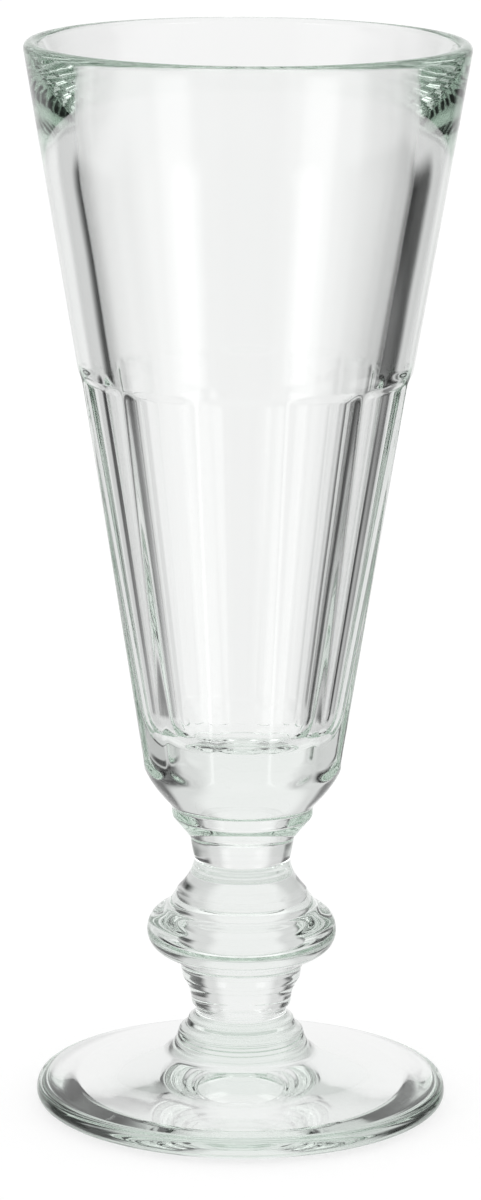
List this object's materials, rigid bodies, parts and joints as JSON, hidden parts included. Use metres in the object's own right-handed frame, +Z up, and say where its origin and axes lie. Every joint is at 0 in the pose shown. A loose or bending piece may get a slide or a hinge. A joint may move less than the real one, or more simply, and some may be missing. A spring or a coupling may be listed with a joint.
{
  "type": "champagne glass",
  "caption": "Tall footed champagne glass with a flat-panelled conical bowl, a ringed stem with a knop and a round foot.",
  "frame": {"origin": "the point on the table under the middle of the foot, where the glass's axis meets it", "axes": "+Z up along the glass's axis; -Y is the side the picture shows, where one flat panel faces out; +X to its right"},
  "size_m": [0.071, 0.071, 0.175],
  "materials": {
    "clear_glass": "clear with a faint green tint where it is thick, fire-polished"
  },
  "bodies": {
    "root": {"bowl": "clear_glass", "stem": "clear_glass", "foot": "clear_glass"}
  },
  "joints": []
}
